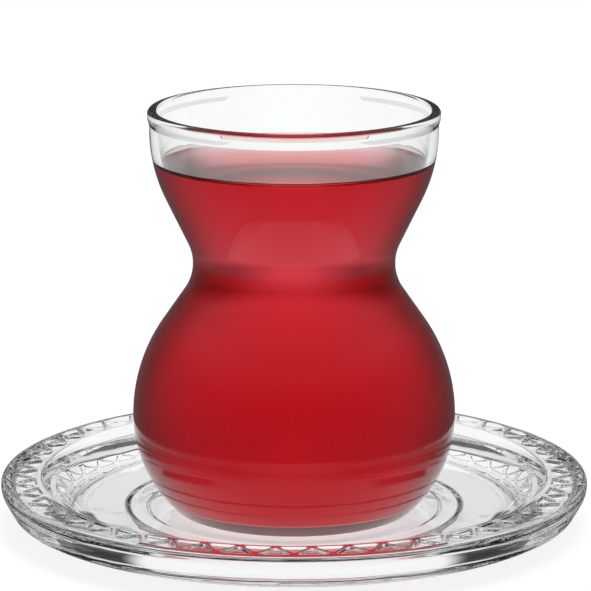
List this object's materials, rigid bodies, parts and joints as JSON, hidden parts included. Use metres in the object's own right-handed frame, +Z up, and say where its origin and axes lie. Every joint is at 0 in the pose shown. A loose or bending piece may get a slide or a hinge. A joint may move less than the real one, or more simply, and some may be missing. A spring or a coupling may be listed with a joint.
{
  "type": "turkish tea glass",
  "caption": "Waisted tulip-shaped tea glass with a round belly, filled with black tea, standing on a round clear pressed-glass saucer with a zigzag border on its rim",
  "frame": {"origin": "middle of the saucer's foot, on the surface that it stands on", "axes": "+Z up, along the axis of the glass and saucer, which are round, so +X and +Y are alike"},
  "size_m": [0.126, 0.126, 0.0896],
  "materials": {
    "glass": "clear, fire-polished, smooth",
    "tea": "clear red-brown black tea with a smooth liquid surface",
    "saucer": "clear pressed glass, polished, with a pressed zigzag border"
  },
  "bodies": {
    "root": {"glass": "glass", "tea": "tea", "saucer": "saucer"}
  },
  "joints": []
}
